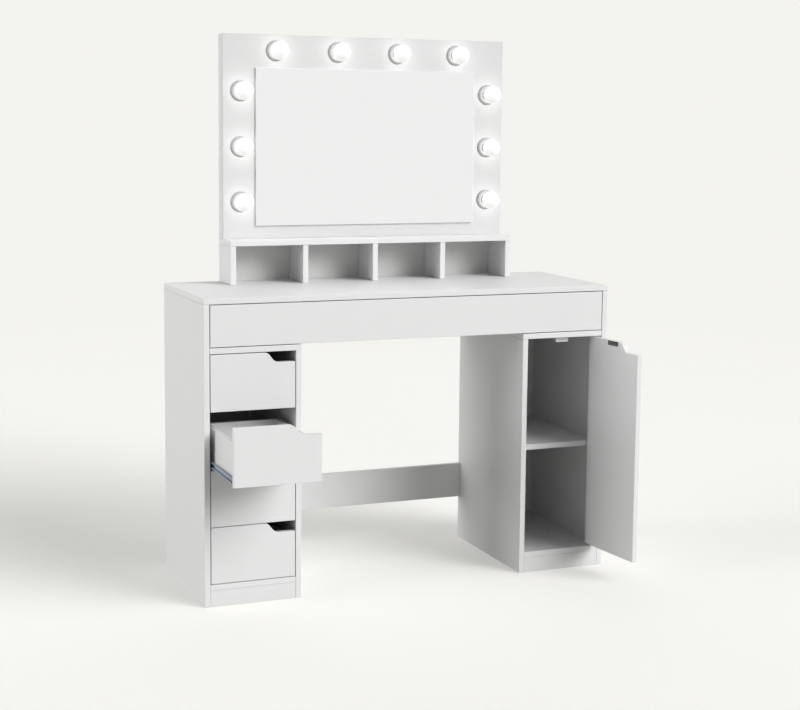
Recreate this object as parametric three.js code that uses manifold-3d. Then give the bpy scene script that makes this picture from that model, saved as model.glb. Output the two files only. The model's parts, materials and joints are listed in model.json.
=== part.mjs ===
// Lighted vanity table: desk with two pedestals, low shelf hutch and a mirror with ten bulbs.
// Millimetres. While it is built, X runs right from the left outer side, Y back from the front
// edge, and Z up from the floor. The last lines move the origin to the middle of the base.
import * as THREE from 'three';
import { mergeVertices } from 'three/addons/utils/BufferGeometryUtils.js';
import Module from 'manifold-3d';

const wasm = await Module();
wasm.setup();

// ---- driving dimensions -------------------------------------------------------------------

const WIDTH = 1150; // over the outer sides
const DEPTH = 415; // front edge to back
const DESK_HEIGHT = 793; // floor to the top of the desk board
const BOARD = 15; // melamine board
const THIN_BOARD = 3; // hardboard backs
const JOINT = 0.3; // the line left where two boards meet
const PEDESTAL_WIDTH = 258;
const PLINTH_HEIGHT = 42.5;
const LONG_BAY_HEIGHT = 110.5; // opening of the long drawer
const SMALL_DRAWERS = 4;
const REVEAL = 2; // gap round the small fronts and the long front
const RAIL_HEIGHT = 100;
const RAIL_BOTTOM = 126.5;
const SHELF_TOP = 354;
const SHELF_SETBACK = 27;

const DRAWER_TRAVEL_IN_VIEW = 210; // the second small drawer stands this far out
const RUNNER_SPACE = 12.5; // each side of a drawer box
const BOX_BOARD = 12;
const BOX_FLOOR = 4;
const BOX_FLOOR_RISE = 6;
const BOX_LENGTH = 300;
const SMALL_BOX_HEIGHT = 95;
const LONG_BOX_HEIGHT = 75;
const BOX_RISE = 7; // from the bottom of a front to the bottom of its box

const NOTCH_DEPTH = 26; // finger notch in a front's upper corner
const NOTCH_FLAT = 45;
const NOTCH_CURVE = 38;
const NOTCH_LEAN = 0.5; // share of the curve that its handles take

const DOOR_SIDE_GAP = 2.5;
const DOOR_OPEN = 95.9; // degrees, as the door stands
const PIVOT_INSET = 15; // pin centre to the door's hinged edge
const ROUND_SIDES = 24; // facets of a pin or a lamp
const PIN_RADIUS = 2.5;
const PIN_CLEARANCE = 0.3;
const PIN_IN_CARCASS = 8;
const PIN_IN_DOOR = 12;
const COLLAR_RADIUS = 5;
const CATCH_FROM_HINGE = 112; // catch centre to the door's hinged edge
const CATCH = { width: 38, depth: 16, height: 14 };
const CATCH_CLEARANCE = 0.5; // from the strike plate when the door is shut
const STRIKE = { width: 44, height: 12, thickness: 1.2, corner: 3.5, fromTop: 1 };

const HUTCH_WIDTH = 838;
const HUTCH_DEPTH = 117;
const HUTCH_HEIGHT = 120;
const HUTCH_BAYS = 4;

const MIRROR_BOX_DEPTH = 45;
const MIRROR_BOX_TOP = 1470;
const GLASS = { width: 655, height: 432, thickness: 4, foot: 35 };
const GLASS_OFF = 0.3;

const GLOBE_RADIUS = 25;
const GLOBE_STANDOFF = 38; // globe centre in front of the panel
const NECK_RADIUS = 12.5;
const SOCKET_HOLE_RADIUS = 13.5;
const BASE_DEPTH = 12; // lamp base behind the panel's front face, past the board
const SIDE_BULB_INSET = 48.5;
const SIDE_BULB_HEIGHTS = [101, 252, 403]; // above the hutch
const TOP_BULB_DROP = 44;
const TOP_BULB_PITCH = 179.4;
const TOP_BULBS = 4;

const INLET = { width: 26, height: 20, depth: 18, bore: 4.5, boreDepth: 13, boreSides: 20 };
const OVERCUT = 1; // how far a drilled hole's cutter stands out of the face
const INLET_FROM_SIDE = 110;
const INLET_ABOVE_HUTCH = 60;

// ---- derived places -----------------------------------------------------------------------

const TOP_UNDERSIDE = DESK_HEIGHT - BOARD;
const DIVIDER_TOP = TOP_UNDERSIDE - LONG_BAY_HEIGHT;
const DIVIDER_BOTTOM = DIVIDER_TOP - BOARD;
const BOTTOM_TOP = PLINTH_HEIGHT + BOARD;
const BAY_HEIGHT = DIVIDER_BOTTOM - BOTTOM_TOP;
const SMALL_FRONT_HEIGHT = (BAY_HEIGHT - (SMALL_DRAWERS + 1) * REVEAL) / SMALL_DRAWERS;
const RIGHT_INNER_FACE = WIDTH - BOARD;
const CABINET_LEFT = WIDTH - PEDESTAL_WIDTH + BOARD;
const BACK_FACE = DEPTH - THIN_BOARD;
const HUTCH_LEFT = (WIDTH - HUTCH_WIDTH) / 2;
const HUTCH_RIGHT = HUTCH_LEFT + HUTCH_WIDTH;
const HUTCH_FRONT = DEPTH - HUTCH_DEPTH;
const HUTCH_TOP = DESK_HEIGHT + HUTCH_HEIGHT;
const PANEL_FRONT = DEPTH - MIRROR_BOX_DEPTH;
const PANEL_BACK = PANEL_FRONT + BOARD;

// ---- materials ----------------------------------------------------------------------------

const finish = (color, roughness, metalness = 0) =>
  new THREE.MeshStandardMaterial({ color, roughness, metalness });
const melamine = finish(0xe9e9e7, 0.45);
const hardboard = finish(0xdedede, 0.6);
const drawerBoard = finish(0xe4e4e2, 0.5);
const zinc = finish(0x9aa3ad, 0.35, 0.9);
const whitePlastic = finish(0xeeeeec, 0.4);
const darkSteel = finish(0x3a3c40, 0.3, 0.9);
const mirrorGlass = finish(0xdfe3e3, 0.03, 1);
const frostedGlass = finish(0xfffcf4, 0.35);
const blackPlastic = finish(0x202022, 0.5);

// ---- solids -------------------------------------------------------------------------------

function mesh(name, geometry, material) {
  const made = new THREE.Mesh(geometry, material);
  made.name = name;
  return made;
}

// A board between two corners.
function board(name, material, [x0, x1], [y0, y1], [z0, z1]) {
  const made = mesh(name, new THREE.BoxGeometry(x1 - x0, y1 - y0, z1 - z0), material);
  made.position.set((x0 + x1) / 2, (y0 + y1) / 2, (z0 + z1) / 2);
  return made;
}

function boxGeometry([x0, x1], [y0, y1], [z0, z1]) {
  return new THREE.BoxGeometry(x1 - x0, y1 - y0, z1 - z0).translate(
    (x0 + x1) / 2,
    (y0 + y1) / 2,
    (z0 + z1) / 2,
  );
}

// An upright disc or pin, its axis along Z.
function pinGeometry(radius, [z0, z1], x, y) {
  const pin = new THREE.CylinderGeometry(radius, radius, z1 - z0, ROUND_SIDES);
  return pin.rotateX(Math.PI / 2).translate(x, y, (z0 + z1) / 2);
}

function solidOf(geometry) {
  const plain = geometry.clone();
  plain.deleteAttribute('normal');
  plain.deleteAttribute('uv');
  const merged = mergeVertices(plain, 1e-4);
  return new wasm.Manifold(
    new wasm.Mesh({
      numProp: 3,
      vertProperties: new Float32Array(merged.attributes.position.array),
      triVerts: new Uint32Array(merged.index.array),
    }),
  );
}

function geometryOf(solid) {
  const { vertProperties, triVerts } = solid.getMesh();
  const geometry = new THREE.BufferGeometry();
  geometry.setAttribute('position', new THREE.BufferAttribute(vertProperties, 3));
  geometry.setIndex(new THREE.BufferAttribute(triVerts, 1));
  geometry.computeVertexNormals();
  return geometry;
}

const join = (pieces) => geometryOf(pieces.map(solidOf).reduce((a, b) => a.add(b)));
const cut = (base, holes) =>
  geometryOf(holes.map(solidOf).reduce((a, b) => a.subtract(b), solidOf(base)));

// A flat outline drawn in X and Z, thickened back from y0 by depth.
function upright(shape, y0, depth, curveSegments = 12) {
  const geometry = new THREE.ExtrudeGeometry(shape, {
    depth,
    bevelEnabled: false,
    curveSegments,
  });
  return geometry.rotateX(Math.PI / 2).translate(0, y0 + depth, 0);
}

function rectangle(x0, x1, z0, z1) {
  const shape = new THREE.Shape();
  shape.moveTo(x0, z0).lineTo(x1, z0).lineTo(x1, z1).lineTo(x0, z1).closePath();
  return shape;
}

function roundHole(x, z, radius) {
  const hole = new THREE.Path();
  hole.absarc(x, z, radius, 0, 2 * Math.PI, true);
  return hole;
}

// A drawer front or door with the finger notch in its upper corner on one side:
// side +1 puts it at the right end, -1 at the left.
function notchedOutline(x0, x1, z0, z1, side) {
  const outer = side > 0 ? x1 : x0;
  const far = side > 0 ? x0 : x1;
  const low = z1 - NOTCH_DEPTH;
  const flatEnd = outer - side * NOTCH_FLAT;
  const curveEnd = flatEnd - side * NOTCH_CURVE;
  const lean = side * NOTCH_CURVE * NOTCH_LEAN;
  const shape = new THREE.Shape();
  shape.moveTo(far, z0).lineTo(outer, z0).lineTo(outer, low).lineTo(flatEnd, low);
  shape.bezierCurveTo(flatEnd - lean, low, curveEnd + lean, z1, curveEnd, z1);
  shape.lineTo(far, z1).closePath();
  return shape;
}

// ---- carcass ------------------------------------------------------------------------------

function pedestalBoards(group, side, x0, x1, pinHoles) {
  const outer = [x0, x0 + BOARD];
  const inner = [x1 - BOARD, x1];
  const [leftName, rightName] = side === 'left' ? ['outer', 'inner'] : ['inner', 'outer'];
  const heights = { outer: TOP_UNDERSIDE - JOINT, inner: DIVIDER_BOTTOM - JOINT };
  const full = [0, DEPTH];
  group.add(board(`side_${side}_${leftName}`, melamine, outer, full, [0, heights[leftName]]));
  group.add(board(`side_${side}_${rightName}`, melamine, inner, full, [0, heights[rightName]]));
  const clear = [x0 + BOARD + JOINT, x1 - BOARD - JOINT];
  const dividerSpan = side === 'left' ? [clear[0], x1] : [x0, clear[1]];
  const floor = boxGeometry(clear, full, [PLINTH_HEIGHT, BOTTOM_TOP]);
  const divider = boxGeometry(dividerSpan, full, [DIVIDER_BOTTOM, DIVIDER_TOP]);
  const drilled = (base, holes) => (holes.length ? cut(base, holes) : base);
  group.add(mesh(`bottom_${side}`, drilled(floor, pinHoles.bottom), melamine));
  group.add(mesh(`divider_${side}`, drilled(divider, pinHoles.top), melamine));
  group.add(board(`plinth_${side}`, melamine, clear, [0, BOARD], [0, PLINTH_HEIGHT - JOINT]));
  const behind = [BACK_FACE, DEPTH];
  const between = [BOTTOM_TOP + JOINT, DIVIDER_BOTTOM - JOINT];
  group.add(board(`back_${side}`, hardboard, clear, behind, between));
}

const PIVOT_X = RIGHT_INNER_FACE - DOOR_SIDE_GAP - PIVOT_INSET;
const PIVOT_Y = BOARD / 2;
const DOOR_BOTTOM = BOTTOM_TOP + REVEAL;
const DOOR_TOP = DIVIDER_BOTTOM - REVEAL;

function carcass() {
  const group = new THREE.Group();
  const hole = PIN_RADIUS + PIN_CLEARANCE;
  const floorHole = [BOTTOM_TOP - PIN_IN_CARCASS - PIN_CLEARANCE, BOTTOM_TOP + OVERCUT];
  const roofHole = [
    DIVIDER_BOTTOM - OVERCUT,
    DIVIDER_BOTTOM + PIN_IN_CARCASS + PIN_CLEARANCE,
  ];
  const pinHoles = {
    bottom: [pinGeometry(hole, floorHole, PIVOT_X, PIVOT_Y)],
    top: [pinGeometry(hole, roofHole, PIVOT_X, PIVOT_Y)],
  };
  const noHoles = { bottom: [], top: [] };
  group.add(
    board('desk_top', melamine, [0, WIDTH], [0, DEPTH], [TOP_UNDERSIDE, DESK_HEIGHT]),
  );
  pedestalBoards(group, 'left', 0, PEDESTAL_WIDTH, noHoles);
  pedestalBoards(group, 'right', WIDTH - PEDESTAL_WIDTH, WIDTH, pinHoles);
  const rear = [DEPTH - BOARD, DEPTH];
  const upperSpan = [BOARD + JOINT, WIDTH - BOARD - JOINT];
  const upperHeight = [DIVIDER_TOP + JOINT, TOP_UNDERSIDE - JOINT];
  group.add(board('rear_rail_upper', melamine, upperSpan, rear, upperHeight));
  const lowerSpan = [PEDESTAL_WIDTH + JOINT, WIDTH - PEDESTAL_WIDTH - JOINT];
  const lowerHeight = [RAIL_BOTTOM, RAIL_BOTTOM + RAIL_HEIGHT];
  group.add(board('rear_rail_lower', melamine, lowerSpan, rear, lowerHeight));
  const shelfSpan = [CABINET_LEFT + JOINT, RIGHT_INNER_FACE - JOINT];
  const shelfDepth = [SHELF_SETBACK, BACK_FACE - JOINT];
  const shelfHeight = [SHELF_TOP - BOARD, SHELF_TOP];
  group.add(board('cabinet_shelf', melamine, shelfSpan, shelfDepth, shelfHeight));
  const catchX = RIGHT_INNER_FACE - DOOR_SIDE_GAP - CATCH_FROM_HINGE;
  const catchFront = BOARD + JOINT + STRIKE.thickness + CATCH_CLEARANCE;
  const catchRoof = DIVIDER_BOTTOM - JOINT;
  group.add(
    board(
      'magnetic_catch',
      whitePlastic,
      [catchX - CATCH.width / 2, catchX + CATCH.width / 2],
      [catchFront, catchFront + CATCH.depth],
      [catchRoof - CATCH.height, catchRoof],
    ),
  );
  return group;
}

// ---- hutch --------------------------------------------------------------------------------

function hutch() {
  const group = new THREE.Group();
  const full = [HUTCH_FRONT, DEPTH];
  const wallHeight = [DESK_HEIGHT + JOINT, HUTCH_TOP - BOARD - JOINT];
  const span = [HUTCH_LEFT, HUTCH_RIGHT];
  group.add(board('hutch_top', melamine, span, full, [HUTCH_TOP - BOARD, HUTCH_TOP]));
  const left = [HUTCH_LEFT, HUTCH_LEFT + BOARD];
  const right = [HUTCH_RIGHT - BOARD, HUTCH_RIGHT];
  group.add(board('hutch_side_left', melamine, left, full, wallHeight));
  group.add(board('hutch_side_right', melamine, right, full, wallHeight));
  const pitch = (HUTCH_WIDTH - BOARD) / HUTCH_BAYS;
  for (let i = 1; i < HUTCH_BAYS; i += 1) {
    const x = HUTCH_LEFT + i * pitch;
    const depth = [HUTCH_FRONT, BACK_FACE - JOINT];
    group.add(board(`hutch_divider_${i}`, melamine, [x, x + BOARD], depth, wallHeight));
  }
  const backSpan = [HUTCH_LEFT + BOARD + JOINT, HUTCH_RIGHT - BOARD - JOINT];
  group.add(board('hutch_back', hardboard, backSpan, [BACK_FACE, DEPTH], wallHeight));
  return group;
}

// ---- mirror box ---------------------------------------------------------------------------

function bulbPlaces() {
  const middle = WIDTH / 2;
  const places = [];
  for (const rise of SIDE_BULB_HEIGHTS) {
    places.push([HUTCH_LEFT + SIDE_BULB_INSET, HUTCH_TOP + rise]);
  }
  for (let i = 0; i < TOP_BULBS; i += 1) {
    const x = middle + (i - (TOP_BULBS - 1) / 2) * TOP_BULB_PITCH;
    places.push([x, MIRROR_BOX_TOP - TOP_BULB_DROP]);
  }
  for (const rise of [...SIDE_BULB_HEIGHTS].reverse()) {
    places.push([HUTCH_RIGHT - SIDE_BULB_INSET, HUTCH_TOP + rise]);
  }
  return places;
}

// Globe, neck and lamp base in one turned outline, pointing forward.
function bulbGeometry() {
  const neckAngle = Math.asin(NECK_RADIUS / GLOBE_RADIUS);
  const profile = [new THREE.Vector2(0, -GLOBE_STANDOFF - GLOBE_RADIUS)];
  const steps = 9;
  for (let i = 1; i <= steps; i += 1) {
    const a = ((Math.PI - neckAngle) * i) / steps;
    const y = -GLOBE_STANDOFF - GLOBE_RADIUS * Math.cos(a);
    profile.push(new THREE.Vector2(GLOBE_RADIUS * Math.sin(a), y));
  }
  profile.push(new THREE.Vector2(NECK_RADIUS, BOARD + BASE_DEPTH));
  profile.push(new THREE.Vector2(0, BOARD + BASE_DEPTH));
  return new THREE.LatheGeometry(profile, ROUND_SIDES);
}

function inlet() {
  const x = HUTCH_RIGHT - INLET_FROM_SIDE;
  const z = HUTCH_TOP + INLET_ABOVE_HUTCH;
  const back = DEPTH - JOINT;
  const body = boxGeometry(
    [x - INLET.width / 2, x + INLET.width / 2],
    [back - INLET.depth, back],
    [z - INLET.height / 2, z + INLET.height / 2],
  );
  const length = INLET.boreDepth + OVERCUT;
  const bore = new THREE.CylinderGeometry(INLET.bore, INLET.bore, length, INLET.boreSides);
  bore.translate(x, back + OVERCUT - length / 2, z);
  return { x, z, geometry: cut(body, [bore]) };
}

function mirrorBox() {
  const group = new THREE.Group();
  const foot = HUTCH_TOP + JOINT;
  const outline = rectangle(HUTCH_LEFT, HUTCH_RIGHT, foot, MIRROR_BOX_TOP);
  const places = bulbPlaces();
  outline.holes = places.map(([x, z]) => roundHole(x, z, SOCKET_HOLE_RADIUS));
  group.add(mesh('mirror_front_panel', upright(outline, PANEL_FRONT, BOARD), melamine));

  const behind = [PANEL_BACK + JOINT, DEPTH];
  const span = [HUTCH_LEFT, HUTCH_RIGHT];
  const topHeight = [MIRROR_BOX_TOP - BOARD, MIRROR_BOX_TOP];
  const sideHeight = [foot, MIRROR_BOX_TOP - BOARD - JOINT];
  group.add(board('mirror_top_board', melamine, span, behind, topHeight));
  const left = [HUTCH_LEFT, HUTCH_LEFT + BOARD];
  const right = [HUTCH_RIGHT - BOARD, HUTCH_RIGHT];
  group.add(board('mirror_side_left', melamine, left, behind, sideHeight));
  group.add(board('mirror_side_right', melamine, right, behind, sideHeight));

  const socket = inlet();
  const cover = rectangle(
    HUTCH_LEFT + BOARD + JOINT,
    HUTCH_RIGHT - BOARD - JOINT,
    foot,
    sideHeight[1],
  );
  const window = new THREE.Path();
  const halfWidth = INLET.width / 2 + JOINT;
  const halfHeight = INLET.height / 2 + JOINT;
  window.moveTo(socket.x - halfWidth, socket.z - halfHeight);
  window.lineTo(socket.x - halfWidth, socket.z + halfHeight);
  window.lineTo(socket.x + halfWidth, socket.z + halfHeight);
  window.lineTo(socket.x + halfWidth, socket.z - halfHeight);
  window.closePath();
  cover.holes = [window];
  group.add(mesh('mirror_back_cover', upright(cover, BACK_FACE, THIN_BOARD), hardboard));
  group.add(mesh('power_inlet', socket.geometry, blackPlastic));

  const middle = WIDTH / 2;
  const glassBack = PANEL_FRONT - GLASS_OFF;
  group.add(
    board(
      'mirror_glass',
      mirrorGlass,
      [middle - GLASS.width / 2, middle + GLASS.width / 2],
      [glassBack - GLASS.thickness, glassBack],
      [HUTCH_TOP + GLASS.foot, HUTCH_TOP + GLASS.foot + GLASS.height],
    ),
  );
  const globe = bulbGeometry();
  places.forEach(([x, z], i) => {
    const bulb = mesh(`bulb_${String(i + 1).padStart(2, '0')}`, globe, frostedGlass);
    bulb.position.set(x, PANEL_FRONT, z);
    group.add(bulb);
  });
  return group;
}

// ---- drawers ------------------------------------------------------------------------------

// Two sides, a back and a floor behind the front, for a bay from x0 to x1.
function drawerBox(name, x0, x1, z0, height) {
  const left = x0 + RUNNER_SPACE;
  const right = x1 - RUNNER_SPACE;
  const front = BOARD + JOINT;
  const rear = front + BOX_LENGTH;
  const upright = [z0, z0 + height];
  const floor = [z0 + BOX_FLOOR_RISE, z0 + BOX_FLOOR_RISE + BOX_FLOOR];
  const overlap = BOX_BOARD / 2;
  const pieces = [
    boxGeometry([left, left + BOX_BOARD], [front, rear], upright),
    boxGeometry([right - BOX_BOARD, right], [front, rear], upright),
    boxGeometry([left + overlap, right - overlap], [rear - BOX_BOARD, rear], upright),
    boxGeometry([left + overlap, right - overlap], [front, rear - overlap], floor),
  ];
  return mesh(name, join(pieces), drawerBoard);
}

const frontBottom = (i) => DIVIDER_BOTTOM - i * (SMALL_FRONT_HEIGHT + REVEAL);

function smallDrawer(i) {
  const group = new THREE.Group();
  const z0 = frontBottom(i);
  const x0 = BOARD;
  const x1 = PEDESTAL_WIDTH - BOARD;
  const outline = notchedOutline(x0 + REVEAL, x1 - REVEAL, z0, z0 + SMALL_FRONT_HEIGHT, 1);
  group.add(mesh(`drawer_${i}_front`, upright(outline, 0, BOARD), melamine));
  group.add(drawerBox(`drawer_${i}_box`, x0, x1, z0 + BOX_RISE, SMALL_BOX_HEIGHT));
  return group;
}

function longDrawer() {
  const group = new THREE.Group();
  const z0 = DIVIDER_TOP + REVEAL;
  const span = [BOARD + REVEAL, WIDTH - BOARD - REVEAL];
  const height = [z0, TOP_UNDERSIDE - REVEAL];
  group.add(board('long_drawer_front', melamine, span, [0, BOARD], height));
  const x1 = WIDTH - BOARD;
  group.add(drawerBox('long_drawer_box', BOARD, x1, z0 + BOX_RISE, LONG_BOX_HEIGHT));
  return group;
}

// ---- roller runners of the drawer that stands open ----------------------------------------

const RUNNER_SHEET = 1.2;
const MOVING_SETBACK = 1; // behind the drawer's front
const MOVING_SHORTFALL = 3; // in front of the box's rear
const FIXED_SETBACK = 2; // behind the closed drawer's front

// A runner profile, drawn across the drawer's left side and pushed back along Y.
// Points are [distance in from the carcass side, height over the box's lower edge].
function runner(name, points, side, z0, [y0, y1]) {
  const x = side === 'left' ? (d) => BOARD + d : (d) => PEDESTAL_WIDTH - BOARD - d;
  const shape = new THREE.Shape();
  shape.moveTo(x(points[0][0]), z0 + points[0][1]);
  for (const [d, h] of points.slice(1)) {
    shape.lineTo(x(d), z0 + h);
  }
  shape.closePath();
  return mesh(name, upright(shape, y0, y1 - y0), zinc);
}

function runnerProfiles() {
  const s = RUNNER_SHEET;
  const lip = 3;
  const leg = RUNNER_SPACE - JOINT;
  const under = RUNNER_SPACE + BOX_BOARD - 1;
  const low = -JOINT - s;
  const high = 13;
  const moving = [
    [lip, low],
    [under, low],
    [under, -JOINT],
    [leg, -JOINT],
    [leg, high],
    [lip, high],
    [lip, high - s],
    [leg - s, high - s],
    [leg - s, low + s],
    [lip, low + s],
  ];
  const web = JOINT;
  const reach = 10;
  const foot = -6;
  const head = 19;
  const fixed = [
    [web, foot],
    [reach, foot],
    [reach, foot + s],
    [web + s, foot + s],
    [web + s, head - s],
    [reach, head - s],
    [reach, head],
    [web, head],
  ];
  return { moving, fixed };
}

// ---- cabinet door -------------------------------------------------------------------------

// A steel pin, with a collar in the gap between the door's edge and the board.
function pivotPin(name, [z0, z1], [gapLow, gapHigh]) {
  const pin = pinGeometry(PIN_RADIUS, [z0, z1], 0, 0);
  const collar = pinGeometry(COLLAR_RADIUS, [gapLow + JOINT, gapHigh - JOINT], 0, 0);
  return mesh(name, join([pin, collar]), zinc);
}

// Built closed, about its own pivot line, then turned open by the group.
function door() {
  const group = new THREE.Group();
  const hinged = PIVOT_INSET;
  const free = hinged - (RIGHT_INNER_FACE - CABINET_LEFT - 2 * DOOR_SIDE_GAP);
  const front = -BOARD / 2;
  const outline = notchedOutline(free, hinged, DOOR_BOTTOM, DOOR_TOP, -1);
  const hole = PIN_RADIUS + PIN_CLEARANCE;
  const drill = PIN_IN_DOOR + JOINT;
  const low = pinGeometry(hole, [DOOR_BOTTOM - OVERCUT, DOOR_BOTTOM + drill], 0, 0);
  const high = pinGeometry(hole, [DOOR_TOP - drill, DOOR_TOP + OVERCUT], 0, 0);
  group.add(mesh('door_panel', cut(upright(outline, front, BOARD), [low, high]), melamine));

  const lowPin = [BOTTOM_TOP - PIN_IN_CARCASS, DOOR_BOTTOM + PIN_IN_DOOR];
  const highPin = [DOOR_TOP - PIN_IN_DOOR, DIVIDER_BOTTOM + PIN_IN_CARCASS];
  group.add(pivotPin('door_pivot_bottom', lowPin, [BOTTOM_TOP, DOOR_BOTTOM]));
  group.add(pivotPin('door_pivot_top', highPin, [DOOR_TOP, DIVIDER_BOTTOM]));

  const centre = hinged - CATCH_FROM_HINGE;
  const x0 = centre - STRIKE.width / 2;
  const x1 = centre + STRIKE.width / 2;
  const z1 = DOOR_TOP - STRIKE.fromTop;
  const z0 = z1 - STRIKE.height;
  const r = STRIKE.corner;
  const plate = new THREE.Shape();
  plate.moveTo(x0 + r, z0).lineTo(x1 - r, z0);
  plate.absarc(x1 - r, z0 + r, r, -Math.PI / 2, 0, false);
  plate.absarc(x1 - r, z1 - r, r, 0, Math.PI / 2, false);
  plate.absarc(x0 + r, z1 - r, r, Math.PI / 2, Math.PI, false);
  plate.absarc(x0 + r, z0 + r, r, Math.PI, 1.5 * Math.PI, false);
  const plateBack = BOARD / 2 + JOINT;
  const strike = upright(plate, plateBack, STRIKE.thickness, 4);
  group.add(mesh('door_strike_plate', strike, darkSteel));

  group.position.set(PIVOT_X, PIVOT_Y, 0);
  group.rotation.z = THREE.MathUtils.degToRad(DOOR_OPEN);
  return group;
}

// ---- assembly -----------------------------------------------------------------------------

const vanity = new THREE.Group();
vanity.add(carcass(), hutch(), mirrorBox(), longDrawer(), door());

const OPEN_DRAWER = 2;
const openBottom = frontBottom(OPEN_DRAWER) + BOX_RISE;
const profiles = runnerProfiles();
for (let i = 1; i <= SMALL_DRAWERS; i += 1) {
  const drawer = smallDrawer(i);
  if (i === OPEN_DRAWER) {
    for (const side of ['left', 'right']) {
      const along = [BOARD + MOVING_SETBACK, BOARD + BOX_LENGTH - MOVING_SHORTFALL];
      drawer.add(runner(`drawer_${i}_runner_${side}`, profiles.moving, side, openBottom, along));
    }
    drawer.position.y = -DRAWER_TRAVEL_IN_VIEW;
  }
  vanity.add(drawer);
}
for (const side of ['left', 'right']) {
  const runnerStart = BOARD + FIXED_SETBACK;
  const along = [runnerStart, runnerStart + BOX_LENGTH];
  vanity.add(runner(`carcass_runner_${side}`, profiles.fixed, side, openBottom, along));
}

// The base's middle, counted with the drawer and the door as they stand.
vanity.position.set(-WIDTH / 2, -(DEPTH - DRAWER_TRAVEL_IN_VIEW) / 2, 0);

export default vanity;
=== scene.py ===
"""Vanity table with a lighted mirror: boards, runners, lamps and fittings on the CAD frame."""

import json
import math

import bmesh
import bpy
from mathutils import Matrix, Vector


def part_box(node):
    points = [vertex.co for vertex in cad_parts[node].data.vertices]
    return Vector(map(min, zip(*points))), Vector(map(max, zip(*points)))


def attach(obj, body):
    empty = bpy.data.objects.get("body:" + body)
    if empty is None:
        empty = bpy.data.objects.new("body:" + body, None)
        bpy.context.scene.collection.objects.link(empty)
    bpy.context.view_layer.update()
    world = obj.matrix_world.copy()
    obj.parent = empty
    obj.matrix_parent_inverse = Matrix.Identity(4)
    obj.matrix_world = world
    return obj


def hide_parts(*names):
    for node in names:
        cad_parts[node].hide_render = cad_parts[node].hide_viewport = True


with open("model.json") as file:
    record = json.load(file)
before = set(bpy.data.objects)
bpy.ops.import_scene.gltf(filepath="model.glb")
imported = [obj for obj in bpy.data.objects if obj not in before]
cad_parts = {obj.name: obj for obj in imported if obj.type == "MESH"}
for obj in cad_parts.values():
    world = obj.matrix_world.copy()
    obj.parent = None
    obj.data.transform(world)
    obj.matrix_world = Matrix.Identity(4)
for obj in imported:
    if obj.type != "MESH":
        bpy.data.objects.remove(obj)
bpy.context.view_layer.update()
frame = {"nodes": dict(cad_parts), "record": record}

MM = 0.001
X, Y, Z = Vector((1, 0, 0)), Vector((0, 1, 0)), Vector((0, 0, 1))
NODES = frame["nodes"]
BODY_OF = {
    node: body
    for body, nodes in frame["record"]["behaviour"]["bodies"].items()
    for node in nodes
}

# ---- shader groups --------------------------------------------------------------------------


def new_group(name, inputs, outputs):
    """An empty node group with its named sockets, and its input and output nodes."""
    tree = bpy.data.node_groups.new(name, "ShaderNodeTree")
    for label, kind, value in inputs:
        socket = tree.interface.new_socket(label, in_out="INPUT", socket_type=kind)
        if value is not None:
            socket.default_value = value
    for label, kind in outputs:
        tree.interface.new_socket(label, in_out="OUTPUT", socket_type=kind)
    return tree, tree.nodes.new("NodeGroupInput"), tree.nodes.new("NodeGroupOutput")


def noise(tree, vector, scale, detail=3.0, roughness=0.55):
    """Soft irregular variation from 0 to 1; the scale is in repeats per metre."""
    node = tree.nodes.new("ShaderNodeTexNoise")
    node.inputs["Scale"].default_value = scale
    node.inputs["Detail"].default_value = detail
    node.inputs["Roughness"].default_value = roughness
    tree.links.new(vector, node.inputs["Vector"])
    return node.outputs["Fac"]


def remap(tree, value, low, high, to_low=0.0, to_high=1.0):
    """A value eased from one range into another."""
    node = tree.nodes.new("ShaderNodeMapRange")
    node.interpolation_type = "SMOOTHSTEP"
    for label, number in (
        ("From Min", low),
        ("From Max", high),
        ("To Min", to_low),
        ("To Max", to_high),
    ):
        node.inputs[label].default_value = number
    tree.links.new(value, node.inputs["Value"])
    return node.outputs["Result"]


def math_node(tree, operation, a, b):
    """One step of arithmetic on two values, either of which may be a plain number."""
    node = tree.nodes.new("ShaderNodeMath")
    node.operation = operation
    for socket, value in zip(node.inputs, (a, b)):
        if isinstance(value, (int, float)):
            socket.default_value = value
        else:
            tree.links.new(value, socket)
    return node.outputs[0]


def blended(tree, a, share_a, b, share_b):
    """The sum of two values, each by its share."""
    part_a = math_node(tree, "MULTIPLY", a, share_a)
    part_b = math_node(tree, "MULTIPLY", b, share_b)
    return math_node(tree, "ADD", part_a, part_b)


def seen_directly(tree):
    """1 where the camera sees, or sees in a mirror, and 0 for rays that carry bounced light."""
    path = tree.nodes.new("ShaderNodeLightPath")
    seen = math_node(tree, "MAXIMUM", path.outputs["Is Camera Ray"], path.outputs["Is Glossy Ray"])
    unspread = math_node(tree, "LESS_THAN", path.outputs["Diffuse Depth"], 0.5)
    return math_node(tree, "MULTIPLY", seen, unspread)


def shown_or_thrown(tree, shown, thrown):
    """One value for what the camera sees and another for the light that is thrown around."""
    change = math_node(tree, "SUBTRACT", shown, thrown)
    seen_part = math_node(tree, "MULTIPLY", change, seen_directly(tree))
    return math_node(tree, "ADD", seen_part, thrown)


def emit(finish, factor, color):
    """A surface that glows with a colour, as far as a factor says."""
    glow = finish.tree.nodes.new("ShaderNodeMix")
    glow.data_type = "RGBA"
    glow.inputs["A"].default_value = (0, 0, 0, 1)
    glow.inputs["B"].default_value = color
    finish.tree.links.new(factor, glow.inputs["Factor"])
    finish.tree.links.new(glow.outputs["Result"], finish.shader.inputs["Emission Color"])


def stretched(tree, vector, scale):
    """A pattern's place scaled unevenly, so that the pattern runs along one axis."""
    node = tree.nodes.new("ShaderNodeMapping")
    node.inputs["Scale"].default_value = scale
    tree.links.new(vector, node.inputs["Vector"])
    return node.outputs["Vector"]


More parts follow.
